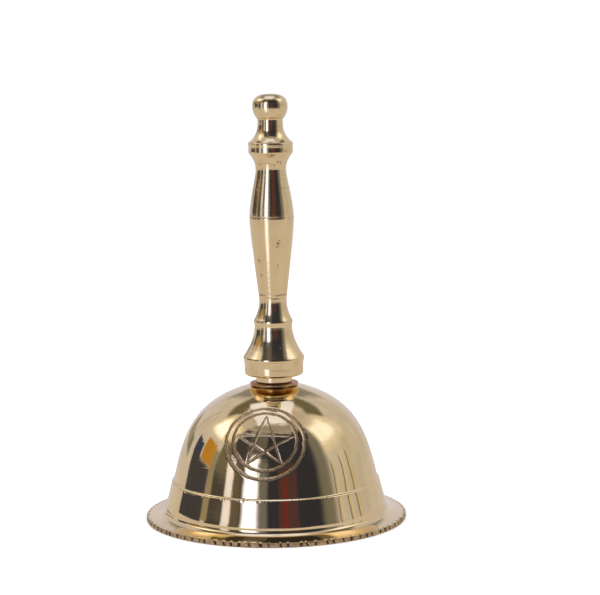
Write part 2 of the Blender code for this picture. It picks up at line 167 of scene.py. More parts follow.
def lattice_mesh(name, rows, columns, dense, step, place, material, closed_rows):
    """A turned sheet of four-sided cells. Rows run along the profile and columns round the axis.

    Cells are step by step lattice squares, and squares marked dense are split down to single ones.
    Where the two meet, the large cell takes the small ones' corners into its own outline, so that
    nothing is left open. place(row, column) gives a point and a groove value for index arrays.
    """
    coarse_rows = rows // step
    used, faces = set(), []
    for i in range(coarse_rows):
        for j in range(columns // step):
            if dense[i, j]:
                for a in range(step):
                    for b in range(step):
                        r, c = i * step + a, j * step + b
                        corners = ((r, c), (r, c + 1), (r + 1, c + 1), (r + 1, c))
                        faces.append([(p, q % columns) for p, q in corners])
                        used.update(faces[-1])
            else:
                used.update((i * step + a * step, (j * step + b * step) % columns)
                            for a in (0, 1) for b in (0, 1))
    for i in range(coarse_rows):
        for j in range(columns // step):
            if not dense[i, j]:
                r, c = i * step, j * step
                walk = [(r, c + k) for k in range(step)] + [(r + k, c + step) for k in range(step)]
                walk += [(r + step, c + step - k) for k in range(step)]
                walk += [(r + step - k, c) for k in range(step)]
                walk = [(p, q % columns) for p, q in walk]
                faces.append([corner for corner in walk if corner in used])
    wrap = (lambda p: (p[0] % rows, p[1])) if closed_rows else (lambda p: p)
    order = sorted({wrap(p) for p in used})
    index = {p: k for k, p in enumerate(order)}
    keys = np.array(order)
    points, groove = place(keys[:, 0], keys[:, 1])
    return new_object(name, points, [[index[wrap(p)] for p in face] for face in faces], material, groove)


def turned_mesh(name, outline, columns, material, wobble=None, groove_at=None):
    """A turned piece from a whole outline of (r, z) points; points on the axis become poles."""
    outline = np.asarray(outline, float)
    angles = np.linspace(0, 2 * pi, columns, endpoint=False)
    on_axis = outline[:, 0] < 1e-6
    closed = not on_axis[0]
    vertices, rings, groove = [], [], []
    for k, (r, z) in enumerate(outline):
        rings.append(len(vertices))
        if on_axis[k]:
            vertices.append((0, 0, z))
            groove.append(0)
        else:
            push = wobble(k, r, z, angles) if wobble else np.zeros((2, columns))
            radius = r + push[0]
            vertices.extend(np.stack([radius * np.sin(angles), -radius * np.cos(angles),
                                      np.full(columns, z) + push[1]], 1))
            groove.extend(groove_at(k, r, z, angles) if groove_at else np.zeros(columns))
    faces = []
    for k in range(len(outline) - (0 if closed else 1)):
        a, b = k, (k + 1) % len(outline)
        for j in range(columns):
            n = (j + 1) % columns
            if on_axis[a]:
                faces.append((rings[a], rings[b] + n, rings[b] + j))
            elif on_axis[b]:
                faces.append((rings[a] + j, rings[a] + n, rings[b]))
            else:
                faces.append((rings[a] + j, rings[a] + n, rings[b] + n, rings[b] + j))
    return new_object(name, vertices, faces, material, groove)


# ---------------------------------------------------------------- materials

class Nodes:
    """Short calls for building a node tree."""

    def __init__(self, tree):
        self.tree = tree

    def add(self, kind, **inputs):
        node = self.tree.nodes.new(kind)
        for key, value in inputs.items():
            if key in node.bl_rna.properties:
                setattr(node, key, value)
            else:
                self.feed(node.inputs[key.replace("_", " ")], value)
        return node

    def feed(self, socket, value):
        if isinstance(value, bpy.types.NodeSocket):
            self.tree.links.new(value, socket)
        else:
            socket.default_value = value

    def math(self, operation, a, b=None, c=None):
        node = self.tree.nodes.new("ShaderNodeMath")
        node.operation = operation
        for socket, value in zip(node.inputs, (a, b, c)):
            if value is not None:
                self.feed(socket, value)
        return node.outputs[0]

    def noise(self, at, scale, detail=3.0, rough=0.5, stretch=(1, 1, 1)):
        moved = self.add("ShaderNodeMapping", Vector=at, Scale=stretch)
        node = self.add("ShaderNodeTexNoise", Vector=moved.outputs[0], Scale=scale, Detail=detail,
                        Roughness=rough)
        return node.outputs["Fac"]

    def range(self, value, a, b, c=0.0, d=1.0, kind="SMOOTHSTEP"):
        node = self.tree.nodes.new("ShaderNodeMapRange")
        node.interpolation_type = kind
        for name, fed in (("Value", value), ("From Min", a), ("From Max", b), ("To Min", c), ("To Max", d)):
            self.feed(node.inputs[name], fed)
        return node.outputs[0]

    def mix(self, share, a, b, blend="MIX"):
        node = self.tree.nodes.new("ShaderNodeMix")
        node.data_type = "RGBA"
        node.blend_type = blend
        self.feed(node.inputs[0], share)
        for socket, value in zip(node.inputs[6:8], (a, b)):
            self.feed(socket, value if isinstance(value, bpy.types.NodeSocket) else (*value, 1.0))
        return node.outputs[2]


def metal(name, colour, stain, rough, stains=0.35, lathe=0.0, scratch=0.0, pits=0.0, pale=None, dirt=0.62):
    """Metal with uneven tone, stains, turning lines round Z, fine scratches and pits.

    A mesh's groove layer turns the surface dull and darker from 0 to 1, and from 1 to 2 paints a near-black
    shade over it, which only the nicks in the rim reach.
    """
    material = bpy.data.materials.new(name)
    material.use_nodes = True
    n = Nodes(material.node_tree)
    shader = material.node_tree.nodes["Principled BSDF"]
    shader.inputs["Metallic"].default_value = 1.0
    at = n.add("ShaderNodeTexCoord").outputs["Object"]
    marks = n.add("ShaderNodeAttribute", attribute_name="groove").outputs["Fac"]
    groove = n.math("MINIMUM", marks, 1.0)
    # Share of the near-black painted shade, from groove values 1 to 2
    rim_shade = n.range(marks, 1.0, 1.8)

    cloud = n.noise(at, 120, 4, 0.6)
    fine = n.noise(at, 900, 3, 0.6)
    tone = n.mix(n.range(cloud, 0.35, 0.7), colour, pale or [c * 0.93 for c in colour])
    stained = n.math("MULTIPLY", n.range(n.noise(at, 260, 6, 0.65), 0.56, 0.74), stains)
    tone = n.mix(stained, tone, stain)
    broken = n.range(n.noise(at, 1500, 3, 0.6), 0.34, 0.6, 0.45, 1.0)
    tone = n.mix(n.math("MULTIPLY", groove, broken), tone, [c * dirt for c in stain])
    n.feed(shader.inputs["Base Color"], n.mix(rim_shade, tone, RIM_SHADE_COLOUR))

    smear = n.noise(at, 60, 5, 0.6, (1, 1, 9))
    roughness = n.math("ADD", n.range(smear, 0.3, 0.75, rough * 0.75, rough * 1.35, "LINEAR"),
                       n.math("MULTIPLY", stained, 0.12))
    roughness = n.math("ADD", roughness, n.math("MULTIPLY", groove, 0.42))
    n.feed(shader.inputs["Roughness"], roughness)

    height = n.math("MULTIPLY", fine, 0.00045 * MM * 0.6)
    x, y, z = n.add("ShaderNodeSeparateXYZ", Vector=at).outputs
    out = n.math("SQRT", n.math("ADD", n.math("MULTIPLY", x, x), n.math("MULTIPLY", y, y)))
    turn = n.math("MULTIPLY", n.math("ARCTAN2", n.math("ABSOLUTE", x), y), 0.0004)
    ring = n.add("ShaderNodeCombineXYZ", X=out, Y=turn, Z=z).outputs[0]
    for scale, share in ((5200, 1.0), (1500, 2.0)):
        height = n.math("ADD", height, n.math("MULTIPLY", n.noise(ring, scale, 2, 0.5), lathe * share * MM))
    if scratch:
        lines = n.noise(n.add("ShaderNodeMapping", Vector=at, Rotation=(0.5, 0.3, 0.9)).outputs[0],
                        900, 2, 0.5, (0.03, 1, 0.4))
        height = n.math("SUBTRACT", height, n.math("MULTIPLY", n.range(lines, 0.70, 0.74), scratch * MM))
    if pits:
        cell = n.add("ShaderNodeTexVoronoi", Vector=at, Scale=700.0)
        dots = n.range(cell.outputs["Distance"], 0.10, 0.22, 1.0, 0.0)
        rare = n.range(n.noise(at, 330, 2, 0.5), 0.60, 0.66)
        height = n.math("SUBTRACT", height, n.math("MULTIPLY", n.math("MULTIPLY", dots, rare), pits * MM))
    bump = n.add("ShaderNodeBump", Height=height, Distance=1.0, Strength=1.0)
    n.feed(shader.inputs["Normal"], bump.outputs[0])
    return material


BRASS = (0.86, 0.665, 0.365)
BRASS_PALE = (0.88, 0.70, 0.42)
BRASS_STAIN = (0.50, 0.33, 0.18)
# Near-black painted shade for the nicks in the rim
RIM_SHADE_COLOUR = (0.10, 0.058, 0.032)


# ---------------------------------------------------------------- the cup

def dome_curve(points):
    return bend((DOME_FOOT_R, DOME_FOOT_Z), (CROWN_LAND_R, CROWN_Z), DOME_LOWER_BEND, DOME_UPPER_BEND, points)


def roundel_frame():
    """Centre of the roundel on the dome's front, with its outward and upward directions."""
    curve = spaced(dome_curve(400), 1000)
    k = int(ROUNDEL_AT * 1000)
    (r0, z0), (r1, z1) = curve[k], curve[k + 1]
    lean = atan2(z1 - z0, r1 - r0)
    return (np.array((0, -r0, z0)), np.array((0, -sin(lean), -cos(lean))),
            np.array((0, -cos(lean), sin(lean))))


def to_line(u, v, a, b):
    """Distance from points to a line segment, and the share of the way along it."""
    du, dv = b[0] - a[0], b[1] - a[1]
    t = np.clip(((u - a[0]) * du + (v - a[1]) * dv) / (du * du + dv * dv), 0, 1)
    return np.hypot(u - a[0] - du * t, v - a[1] - dv * t), t


def engraving(u, v):
    """How deep the roundel's lines cut at a place on its flat face, and how worked the metal is there."""
    wander = ripple(u, v, 3.0, 11) * 0.10 + ripple(u, v, 0.9, 12) * 0.045
    across, up = u + wander, v + ripple(u, v, 3.4, 13) * 0.08
    radius = np.hypot(across, up)
    lines = [(np.abs(radius - RING_OUTER_R), 1.0, 1.1),
             (np.abs(np.hypot(across, up - RING_INNER_LIFT) - RING_INNER_R), 0.95, 1.0)]
    for k in range(5):
        away, t = to_line(across, up, STAR_TIPS[k], STAR_TIPS[(k + 2) % 5])
        taper = 0.72 + 0.28 * smooth(0.0, 0.16, np.minimum(t, 1 - t))
        faint = 1 - 0.55 * smooth(1.0, 5.5, v)
        lines.append((away, 0.85 * faint, 0.82 * taper * (0.6 + 0.4 * faint)))
    depth, worked = np.zeros_like(u), np.zeros_like(u)
    chatter = 1 + 0.35 * ripple(u, v, 0.7, 14)
    for away, deep, wide in lines:
        half = GROOVE_HALF_W * wide
        cut = np.clip(1 - away / half, 0, 1) ** 0.85
        lip = np.exp(-((away - half * 1.12) / (half * 0.30)) ** 2)
        depth = np.maximum(depth, cut * GROOVE_DEEP * deep * chatter)
        burr = np.minimum(lip * BURR_H * (0.6 + 0.7 * chatter), BURR_H * 1.6)
        depth = np.where(cut > 0, depth, depth - burr * (depth <= 0))
        worked = np.maximum(worked, np.clip(cut * 2.2, 0, 1))
    return depth, worked


def nick_marks():
    """Angle, half width and depth of each chisel mark round the rim."""
    draw = np.random.default_rng(SEED)
    step = 2 * pi / NICKS
    return [(k * step + draw.uniform(-0.24, 0.24) * step, draw.uniform(0.30, 0.50) / MOUTH_R,
             NICK_DEEP * draw.uniform(0.55, 1.25), draw.uniform(-0.5, 0.2)) for k in range(NICKS)]


def nick_depth(angle, height):
    """How far the rim is cut in at an angle and a share of the way up its edge."""
    total = np.zeros_like(angle)
    for centre, half, deep, slant in nick_marks():
        off = (angle - centre - slant * (height - 0.5) / MOUTH_R + pi) % (2 * pi) - pi
        total = np.maximum(total, np.clip(1 - np.abs(off) / half, 0, 1) ** 0.8 * deep)
    return total


def soft_inner(z):
    """Share of the turning marks inside the cup, none close to the mouth's edge or the crown."""
    return smooth(0.6, 2.0, z) * (1 - smooth(CROWN_Z - 4, CROWN_Z - 2.5, z))


CUP_COLUMNS = 960
CUP_STEP = 4
TURN_PACE = 22.0  # turns an angle into millimetres along the cup's middle
# Sections of the cup's outline from the crown land round to the hole, with their rows
CUP_SECTIONS = (("land", 8), ("dome", 208), ("ledge", 8), ("band", 28), ("step", 8), ("brim", 32),
                ("edge", 12), ("under", 12), ("band_inside", 20), ("dome_inside", 80),
                ("crown_inside", 8), ("hole", 4))
INSIDE = ("band_inside", "dome_inside", "crown_inside", "hole")


def cup_profile():
    """The cup's whole outline, row by row, and each row's section."""
    brim_in = (BAND_FOOT_R + 0.05, BRIM_TOP_Z)
    brim = bend(brim_in, (MOUTH_R - 0.15, BRIM_EDGE_T), (0.11, 0.60), (0.45, 0.88), 80)
    inner = inset(dome_curve(200), WALL)
    inner[-1] = (CROWN_LAND_R, CROWN_Z - WALL)
    edge = [(MOUTH_R - 0.15, BRIM_EDGE_T), (MOUTH_R, BRIM_EDGE_T - 0.15),
            (MOUTH_R, 0.15), (MOUTH_R - 0.15, 0)]
    paths = {
        "land": [(HOLE_R, CROWN_Z), (CROWN_LAND_R, CROWN_Z)],
        "dome": dome_curve(400)[::-1],
        "ledge": [(DOME_FOOT_R, DOME_FOOT_Z), (DOME_FOOT_R + 0.10, DOME_FOOT_Z - 0.14),
                  (BAND_TOP_R - 0.05, BAND_TOP_Z + 0.10), (BAND_TOP_R, BAND_TOP_Z)],
        "band": [(BAND_TOP_R, BAND_TOP_Z), (BAND_FOOT_R, BAND_FOOT_Z)],
        "step": [(BAND_FOOT_R, BAND_FOOT_Z), brim_in],
        "brim": brim,
        "edge": edge,
        "under": [(MOUTH_R - 0.15, 0), (BAND_FOOT_R - WALL, 0)],
        "band_inside": [(BAND_FOOT_R - WALL, 0), (BAND_TOP_R - BAND_WALL, BAND_TOP_Z)],
        "dome_inside": np.vstack([[(BAND_TOP_R - BAND_WALL, BAND_TOP_Z)], inner]),
        "crown_inside": [(CROWN_LAND_R, CROWN_Z - WALL), (HOLE_R, CROWN_Z - WALL)],
        "hole": [(HOLE_R, CROWN_Z - WALL), (HOLE_R, CROWN_Z)],
    }
    rows, sections = [], []
    for name, count in CUP_SECTIONS:
        rows.extend(spaced(paths[name], count)[:-1])
        sections.extend([name] * count)
    return np.array(rows), np.array(sections)


def roundel_marks(r, z, angle, on_dome):
    """Push and groove values of the engraving, and of the metal beaten uneven round it."""
    centre, outward, upward = roundel_frame()
    push, groove = np.zeros(len(r)), np.zeros(len(r))
    flat = np.stack([r * np.sin(angle), -r * np.cos(angle), z], 1) - centre
    u, v = flat[:, 0], flat @ upward / ROUNDEL_TALL
    near = on_dome & (np.hypot(u, v) < RING_OUTER_R + 1.6) & (flat @ outward > -6)
    depth, worked = engraving(u[near], v[near])
    push[near] -= depth
    groove[near] = worked
    beaten = np.exp(-((np.hypot(u, v) - 8.0) / 4.0) ** 2) * near
    push += beaten * (ripple(u, v, 3.1, 23) * 0.007 + ripple(u, v, 1.3, 24) * 0.0022)
    return push, groove


def surface_waves(r, z, angle, section):
    """Slight unevenness of each turned surface, as a push outward."""
    on_dome = section == "dome"
    turn = angle * TURN_PACE
    soft = smooth(0.4, 2.0, z) * (on_dome | (section == "band"))
    push = soft * (ripple(turn, z * 1.6, 13.0, 21) * 0.012 + ripple(turn, z, 4.2, 22) * 0.0022)
    crown_rings = ripple(r, angle * 0.9, 1.5, 25) * 0.014 + ripple(r, angle * 0.6, 0.75, 26) * 0.0045
    push += on_dome * smooth(22, 30, z) * crown_rings
    push += np.isin(section, INSIDE) * soft_inner(z) * ripple(r * 0.2, z, 0.8, 52) * 0.006
    ledge = np.exp(-((z - BAND_TOP_Z - 0.1) / 0.28) ** 2) * np.isin(section, ("ledge", "band"))
    push += ledge * (0.03 * ripple(angle * 24, z * 0, 0.9, 31) + 0.035)
    return push + (section == "brim") * (ripple(angle * 28, r, 9.0, 33) * 0.010)


def rim_marks(r, z, angle, section, groove):
    """Cuts the nicks and a rough edge into the rim, changing r, z and groove in place. The groove values
    paint shade on the rim's edge and underside, and a darker painted shade in the nicks.
    """
    rim = np.isin(section, ("brim", "edge", "under"))
    nick = nick_depth(angle[rim], np.clip(z / BRIM_EDGE_T, 0, 1)[rim])
    reach = np.clip(1 - (MOUTH_R - r[rim]) / 0.9, 0, 1) ** 0.7
    rough_edge = ripple(angle[rim] * MOUTH_R, z[rim] * 2, 0.8, 41) * 0.035
    r[rim] -= np.clip((nick + rough_edge + 0.03), 0, 1) * reach
    z[rim] = z[rim] - 0.22 * np.clip(nick / NICK_DEEP, 0, 1) * reach * (z[rim] > 0.9)
    # Painted shade: the edge and underside get values near 1, darker and duller, and the nicks go past 1,
    # near black
    rim_shade = np.clip(nick / NICK_DEEP * reach * 1.3 + 0.95 * reach, 0, 2)
    groove[rim] = rim_shade * (section[rim] != "brim")


def fine_rows(rows, first):
    """Which large cells are split: round the roundel, along the rim and at the ledge."""
    centre, _, upward = roundel_frame()
    dense = np.zeros((len(rows) // CUP_STEP, CUP_COLUMNS // CUP_STEP), bool)
    sector = int(radians(28) / (2 * pi / CUP_COLUMNS) / CUP_STEP) + 1
    for i in range(first["dome"] // CUP_STEP, first["ledge"] // CUP_STEP):
        point = np.array((0, -rows[i * CUP_STEP, 0], rows[i * CUP_STEP, 1]))
        if abs((point - centre) @ upward) < (RING_OUTER_R + 1.0) * ROUNDEL_TALL:
            dense[i, :sector] = True
            dense[i, -sector:] = True
    dense[(first["edge"] - 8) // CUP_STEP:(first["under"] + 4) // CUP_STEP, :] = True
    dense[first["ledge"] // CUP_STEP - 1:first["band"] // CUP_STEP + 1, :] = True
    return dense


def cup_mesh(material):
    rows, sections = cup_profile()
    count = len(rows)
    before, after = np.roll(rows, 1, 0), np.roll(rows, -1, 0)
    slope = after - before
    length = np.hypot(slope[:, 0], slope[:, 1])
    out_r, out_z = -slope[:, 1] / length, slope[:, 0] / length
    first = {name: int(np.argmax(sections == name)) for name, _ in CUP_SECTIONS}
    dense = fine_rows(rows, first)

    def place(row, column):
        r, z = rows[row % count, 0].copy(), rows[row % count, 1].copy()
        angle = column * 2 * pi / CUP_COLUMNS
        section = sections[row % count]
        push, groove = roundel_marks(r, z, angle, section == "dome")
        push = push + surface_waves(r, z, angle, section)
        inside = np.isin(section, INSIDE)
        groove = np.where(inside, 0.62 + 0.2 * ripple(angle * TURN_PACE, z * 2, 5.0, 51), groove)
        rim_marks(r, z, angle, section, groove)
        r = r + out_r[row % count] * push
        z = np.maximum(z + out_z[row % count] * push, 0)
        return np.stack([r * np.sin(angle), -r * np.cos(angle), z], 1), groove

    return lattice_mesh("cup_polished", count, CUP_COLUMNS, dense, CUP_STEP, place, material, True)


# ---------------------------------------------------------------- the handle

NECK_R, NECK_H = 4.3, 1.6
FOOT_R, FOOT_ROUND, FOOT_BAND_H, FOOT_RIDGE = 7.0, 0.7, 3.1, 0.25
CONE_H = 7.6
BEAD_NECK_R, BEAD_R, BEAD_H = 4.45, 4.62, 1.5
WAIST_R, WAIST_H, WAIST_BAND_H = 3.27, 4.3, 0.4
GRIP_R, GRIP_H = 5.24, 19.3
TOP_NECK_R, SHOULDER_H = 3.57, 11.3
COLLAR_R, COLLAR_COVE_H, COLLAR_H = 5.25, 4.1, 2.3
KNOB_NECK_R, KNOB_COVE_H, KNOB_NECK_H = 2.97, 4.4, 1.1
KNOB_R, KNOB_LOWER_H, KNOB_CAP_H = 4.13, 2.8, 3.05
BORE_DEEP = 9.0
HANDLE_COLUMNS = 144
HANDLE_ROW = 0.16


def handle_side():
    """The handle's outer side from foot to knob, as runs that meet in crisp corners."""
    z = round(low("handle").z, 2)
    runs = [[(NECK_R, z), (NECK_R, z + NECK_H)]]
    z += NECK_H
    runs.append([(NECK_R, z), (FOOT_R - FOOT_ROUND, z)])
    runs.append(bend((FOOT_R - FOOT_ROUND, z), (FOOT_R, z + FOOT_ROUND), (0.6, 0.0), (1.0, 0.4), 12))
    z += FOOT_ROUND
    top = z + FOOT_BAND_H
    runs.append([(FOOT_R, z), (FOOT_R - 0.03, z + FOOT_BAND_H * 0.5), (FOOT_R + FOOT_RIDGE * 0.5, top - 0.12),
                 (FOOT_R + FOOT_RIDGE * 0.85, top)])
    runs.append([(FOOT_R + FOOT_RIDGE * 0.85, top), (FOOT_R + FOOT_RIDGE, top + 0.2),
                 (FOOT_R + FOOT_RIDGE, top + 0.4), (FOOT_R + FOOT_RIDGE * 0.8, top + 0.6)])
    z = top + 0.4
    runs.append(bend((FOOT_R + FOOT_RIDGE * 0.8, z + 0.2), (BEAD_NECK_R, z + CONE_H),
                     (0.473, 0.275), (0.982, 0.597), 40))
    z += CONE_H
    runs.append([(BEAD_NECK_R, z), (BEAD_NECK_R + 0.02, z + 0.12), (BEAD_R - 0.03, z + BEAD_H * 0.4),
                 (BEAD_R, z + BEAD_H * 0.6), (BEAD_R - 0.03, z + BEAD_H * 0.8), (BEAD_NECK_R, z + BEAD_H)])
    z += BEAD_H
    runs.append(bend((BEAD_NECK_R, z), (WAIST_R, z + WAIST_H), (0.484, 0.233), (0.975, 0.628), 30))
    z += WAIST_H
    runs.append([(WAIST_R, z), (WAIST_R, z + WAIST_BAND_H)])
    z += WAIST_BAND_H
    runs.append(bend((WAIST_R, z), (GRIP_R, z + GRIP_H), (0.244, 0.249), (0.827, 0.668), 60))
    z += GRIP_H
    runs.append(bend((GRIP_R, z), (TOP_NECK_R, z + SHOULDER_H), (0.054, 0.363), (0.892, 0.770), 40))
    z += SHOULDER_H
    runs.append(bend((TOP_NECK_R, z), (COLLAR_R, z + COLLAR_COVE_H), (0.02, 0.488), (0.462, 0.707), 30))
    z += COLLAR_COVE_H
    runs.append([(COLLAR_R, z), (COLLAR_R + 0.02, z + 0.15), (COLLAR_R - 0.04, z + COLLAR_H * 0.5),
                 (COLLAR_R + 0.02, z + COLLAR_H - 0.15), (COLLAR_R, z + COLLAR_H)])
    z += COLLAR_H
    runs.append(bend((COLLAR_R, z), (KNOB_NECK_R, z + KNOB_COVE_H), (0.54, 0.205), (0.996, 0.5), 30))
    z += KNOB_COVE_H
    runs.append([(KNOB_NECK_R, z), (KNOB_NECK_R, z + KNOB_NECK_H)])
    z += KNOB_NECK_H
    runs.append(bend((KNOB_NECK_R, z), (KNOB_R, z + KNOB_LOWER_H), (0.485, 0.179), (1.0, 0.571), 20))
    z += KNOB_LOWER_H
    runs.append(bend((KNOB_R, z), (0, z + KNOB_CAP_H), (0, 0.557), (0.128, 1.0), 40))
    return runs


# Fine turned grooves: height, depth and half width; each fades round the turn in the same way
HANDLE_GROOVES = ((95.15, 0.07, 0.16), (84.7, 0.04, 0.12), (53.75, 0.12, 0.20), (52.95, 0.08, 0.15),
                  (78.9, 0.03, 0.10), (72.1, 0.05, 0.20))
# Casting pits: height, angle from the front in degrees, radius, depth
HANDLE_PITS = (
    (85.1, 32, 0.30, 0.16), (84.8, 44, 0.24, 0.14), (84.3, 20, 0.20, 0.10), (84.5, -38, 0.28, 0.12),
    (87.6, 50, 0.30, 0.16), (66.8, 28, 0.20, 0.10), (66.2, 24, 0.26, 0.12), (65.4, 22, 0.22, 0.12),
    (61.0, 24, 0.18, 0.10), (60.3, 22, 0.18, 0.09), (62.0, -40, 0.26, 0.10), (58.5, -34, 0.18, 0.08),
    (41.6, 24, 0.24, 0.12), (40.1, -48, 0.26, 0.10), (43.5, -56, 0.20, 0.10), (46.4, -50, 0.18, 0.09),
    (72.0, -58, 0.34, 0.14), (71.9, -44, 0.30, 0.12), (71.7, 62, 0.26, 0.10), (97.6, -62, 0.26, 0.12),
)


def handle_mesh(material):
    outline = []
    for run in handle_side():
        run = np.asarray(run, float)
        long = np.hypot(*np.diff(run, axis=0).T).sum()
        outline.extend(spaced(run, max(3, int(long / HANDLE_ROW)))[:-1])
    top = round(high("handle").z, 2)
    outline.append((0, top))
    foot = low("handle").z
    bore_top = foot + BORE_DEEP
    outline = np.array(outline)[::-1]
    bore = spaced([(HOLE_R, foot), (HOLE_R, bore_top)], 12)
    inner = [(HOLE_R, foot), *bore[1:], (0, bore_top + HOLE_R / 2)]
    foot_face = spaced([(NECK_R, foot), (HOLE_R, foot)], 4)[1:-1]
    whole = np.vstack([outline, foot_face, inner])
    outside = len(outline)
    runs = np.gradient(whole, axis=0)
    long = np.hypot(runs[:, 0], runs[:, 1]) + 1e-9
    out_r, out_z = -runs[:, 1] / long, runs[:, 0] / long

    def cuts(r, z, angles):
        """How deep grooves and pits go at one height, and how dull they are."""
        depth, dull = np.zeros_like(angles), np.zeros_like(angles)
        for at, deep, half in HANDLE_GROOVES:
            wander = at + 0.03 * np.sin(angles * 2 + at) + 0.015 * np.sin(angles * 7 + at)
            share = np.clip(1 - np.abs(z - wander) / half, 0, 1)
            share = share * (0.55 + 0.45 * np.sin(angles * 3 + at * 5))
            depth += share * deep
            dull = np.maximum(dull, share * 0.9)
        for at, turn, radius, deep in HANDLE_PITS:
            off = (angles - radians(turn) + pi) % (2 * pi) - pi
            away = np.hypot(off * r * (0.8 + 0.3 * np.sin(at * 9)), (z - at) * (0.9 + 0.5 * np.cos(at * 5)))
            share = np.clip(1 - away / radius, 0, 1)
            depth += share * deep * 0.7
            dull = np.maximum(dull, np.clip(share * 1.1, 0, 0.8))
        return depth, dull

    def wobble(k, r, z, angles):
        if k >= outside:
            return np.zeros((2, len(angles)))
        depth, _ = cuts(r, z, angles)
        calm = smooth(0.0, 2.0, np.full_like(angles, r))
        waves = 0.007 * np.sin(3 * angles + z * 0.23) + 0.004 * np.sin(5 * angles - z * 0.6 + 1) \
            + 0.0022 * np.sin(z * 5.1 + 2 * np.sin(angles)) + 0.0012 * np.sin(z * 13.7 + angles * 3)
        push = calm * waves - depth
        return np.stack([out_r[k] * push, out_z[k] * push])

    def groove_at(k, r, z, angles):
        return cuts(r, z, angles)[1] if k < outside else np.full_like(angles, 0.4)

    return turned_mesh("handle_turned", whole, HANDLE_COLUMNS, material, wobble, groove_at)


def washer_mesh(material):
    """The brown washer under the handle, with rolled edges and a slight wave."""
    lo, hi = low("crown_washer"), high("crown_washer")
    r, t = hi.x, hi.z - lo.z
    outline = [(HOLE_R, hi.z), *spaced([(HOLE_R, hi.z), (r - 0.18, hi.z)], 10)[1:]]
    outline += [(r - 0.18 + 0.18 * sin(a), hi.z - 0.18 + 0.18 * cos(a)) for a in np.linspace(0.3, pi / 2, 5)]
    outline += [(r, lo.z + t * 0.35), (r - 0.06, lo.z + 0.06), (r - 0.15, lo.z)]
    outline += list(spaced([(r - 0.15, lo.z), (HOLE_R, lo.z)], 6)[1:])
    middle = (lo.z + hi.z) / 2

    def wobble(k, r, z, angles):
        edge = smooth(4.5, 5.7, np.full_like(angles, r))
        across = edge * (0.02 * np.sin(4 * angles + 1) - 0.03)
        return np.stack([across, edge * 0.012 * np.sin(3 * angles) * (z > middle)])

    return turned_mesh("washer_tarnished", outline, 96, material, wobble, None)


# ---------------------------------------------------------------- studio

def camera():
    """The viewpoint: 480 mm out from the axis, a little right of the roundel, looking down 7.5 degrees."""
    away, height, azimuth, pitch, roll = 480.0, 116.06, radians(7.0), 0.13106, radians(0.9)
    data = bpy.data.cameras.new("camera")
    data.sensor_width = 36.0
    data.lens = 122.79
    data.shift_x = 0.045167
    data.clip_start, data.clip_end = 0.01, 20
    item = bpy.data.objects.new("camera", data)
    bpy.context.scene.collection.objects.link(item)
    item.location = Vector((away * sin(azimuth), -away * cos(azimuth), height)) * MM
    tilt = Matrix.Rotation(pi / 2 - pitch, 4, "X") @ Matrix.Rotation(-roll, 4, "Z")
    item.rotation_euler = (Matrix.Rotation(azimuth, 4, "Z") @ tilt).to_euler()
    bpy.context.scene.camera = item
    return azimuth


